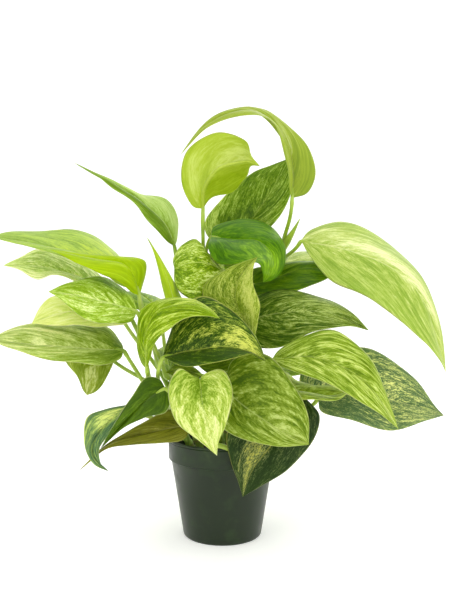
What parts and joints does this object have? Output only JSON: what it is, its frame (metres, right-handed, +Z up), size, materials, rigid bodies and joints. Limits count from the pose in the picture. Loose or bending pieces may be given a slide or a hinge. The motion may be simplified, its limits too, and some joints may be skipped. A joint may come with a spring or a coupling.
{
  "type": "potted pothos plant",
  "caption": "Bushy variegated pothos with heart-shaped marbled leaves on short upright vines, in a small round tapered plastic nursery pot.",
  "frame": {"origin": "centre of the pot's flat underside", "axes": "+Z up along the pot's axis; -Y towards the side that the plant faces, +X to its right"},
  "size_m": [0.3171, 0.2248, 0.3114],
  "materials": {
    "leaf_lime": "waxy yellow-green leaf, marbled",
    "leaf_green": "waxy mid-green leaf, streaked",
    "leaf_deep": "waxy dark green leaf, speckled with cream",
    "leaf_cream": "waxy cream and pale green leaf, marbled",
    "leaf_olive": "waxy olive leaf with cream streaks",
    "vine_stem": "smooth green vine stem with pale nodes",
    "pot_plastic": "satin very dark green polypropylene",
    "potting_mix": "crumbly dark brown potting mix with bark and perlite"
  },
  "bodies": {
    "root": {"nursery_pot": "pot_plastic", "potting_soil": "potting_mix", "stem_right": "vine_stem", "stem_centre": "vine_stem", "stem_left": "vine_stem", "stem_front_left": "vine_stem", "stem_front": "vine_stem", "stem_front_right": "vine_stem", "stem_back": "vine_stem", "leaf_top_arch": "leaf_lime", "leaf_top_spoon": "leaf_lime", "leaf_upper_back": "leaf_green", "leaf_curled": "leaf_green", "leaf_right_pale": "leaf_cream", "leaf_left_spear": "leaf_green", "leaf_left_high": "leaf_lime", "leaf_left_bright": "leaf_lime", "leaf_left_second": "leaf_cream", "leaf_left_broad": "leaf_lime", "leaf_left_cream": "leaf_cream", "leaf_left_low": "leaf_cream", "leaf_left_hanging": "leaf_olive", "leaf_front_arch": "leaf_lime", "leaf_spike": "leaf_lime", "leaf_centre_mottled": "leaf_lime", "leaf_centre_olive": "leaf_olive", "leaf_front_folded": "leaf_deep", "leaf_right_dark": "leaf_green", "leaf_right_middle": "leaf_olive", "leaf_right_front": "leaf_lime", "leaf_right_speckled": "leaf_deep", "leaf_right_crescent": "leaf_lime", "leaf_front_heart": "leaf_cream", "leaf_front_right": "leaf_olive", "leaf_pot_front": "leaf_deep", "leaf_left_panel": "leaf_green", "leaf_left_dark": "leaf_deep", "leaf_left_olive": "leaf_olive", "leaf_inner_small": "leaf_cream", "leaf_inner_middle": "leaf_olive", "leaf_rear_high": "leaf_green", "leaf_rear_middle": "leaf_lime", "leaf_rear_right_high": "leaf_cream", "leaf_rear_left_high": "leaf_green", "leaf_rear_left": "leaf_olive", "leaf_rear_right": "leaf_lime", "leaf_rear_low_right": "leaf_deep", "leaf_rear_low_left": "leaf_cream"}
  },
  "joints": []
}
